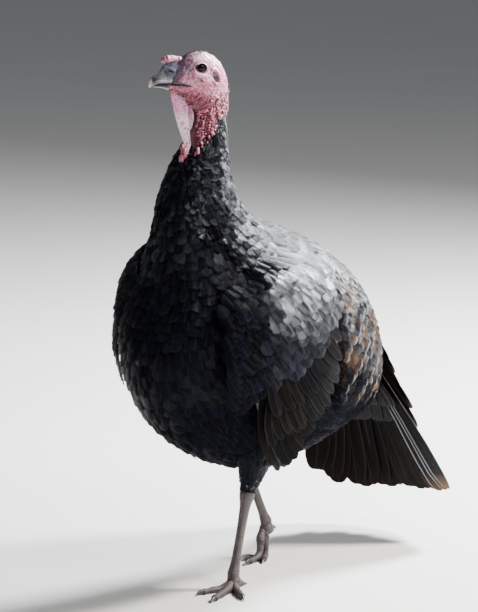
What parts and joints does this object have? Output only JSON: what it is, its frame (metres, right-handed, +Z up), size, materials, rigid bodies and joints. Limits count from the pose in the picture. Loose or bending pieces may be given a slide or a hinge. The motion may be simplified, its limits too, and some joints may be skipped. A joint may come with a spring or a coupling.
{
  "type": "domestic turkey",
  "caption": "Life-size still model of a black domestic turkey, standing mid-step with its head turned, bare red throat, folded drooping wings and a hanging tail",
  "frame": {"origin": "on the floor, at the centre of the model's bounding box seen from above", "axes": "+Z up, the bird faces -Y, and +X is the bird's left side"},
  "size_m": [0.3097, 0.6122, 0.7738],
  "materials": {
    "body_feather": "glossy black contour feathers with a blue-grey sheen and thin paler edges",
    "tail_feather": "black-brown feathers with bronze and pale grey bands near the tips",
    "head_skin": "bare wrinkled skin, pale pink to lilac, with sparse dark bristles",
    "throat_skin": "bare red skin with beaded caruncles",
    "snood_skin": "soft pink fleshy nub",
    "dewlap_skin": "soft pink fold of skin",
    "bill_horn": "grey-brown horn, paler and translucent at the hooked tip",
    "eye": "wet dark brown eye",
    "leg_scale": "dark slate grey-brown scales",
    "claw": "dark blunt horn"
  },
  "bodies": {
    "root": {"bill_lower": "bill_horn", "bill_upper": "bill_horn", "claw_left_hind": "claw", "claw_left_inner": "claw", "claw_left_middle": "claw", "claw_left_outer": "claw", "claw_right_hind": "claw", "claw_right_inner": "claw", "claw_right_middle": "claw", "claw_right_outer": "claw", "dewlap": "dewlap_skin", "eye_left": "eye", "eye_right": "eye", "foot_left": "leg_scale", "foot_right": "leg_scale", "head": "head_skin", "neck": "body_feather", "shank_left": "leg_scale", "shank_right": "leg_scale", "snood": "snood_skin", "tail": "tail_feather", "thigh_left": "body_feather", "thigh_right": "body_feather", "throat": "throat_skin", "torso": "body_feather", "wing_left": "body_feather", "wing_right": "body_feather"}
  },
  "joints": []
}
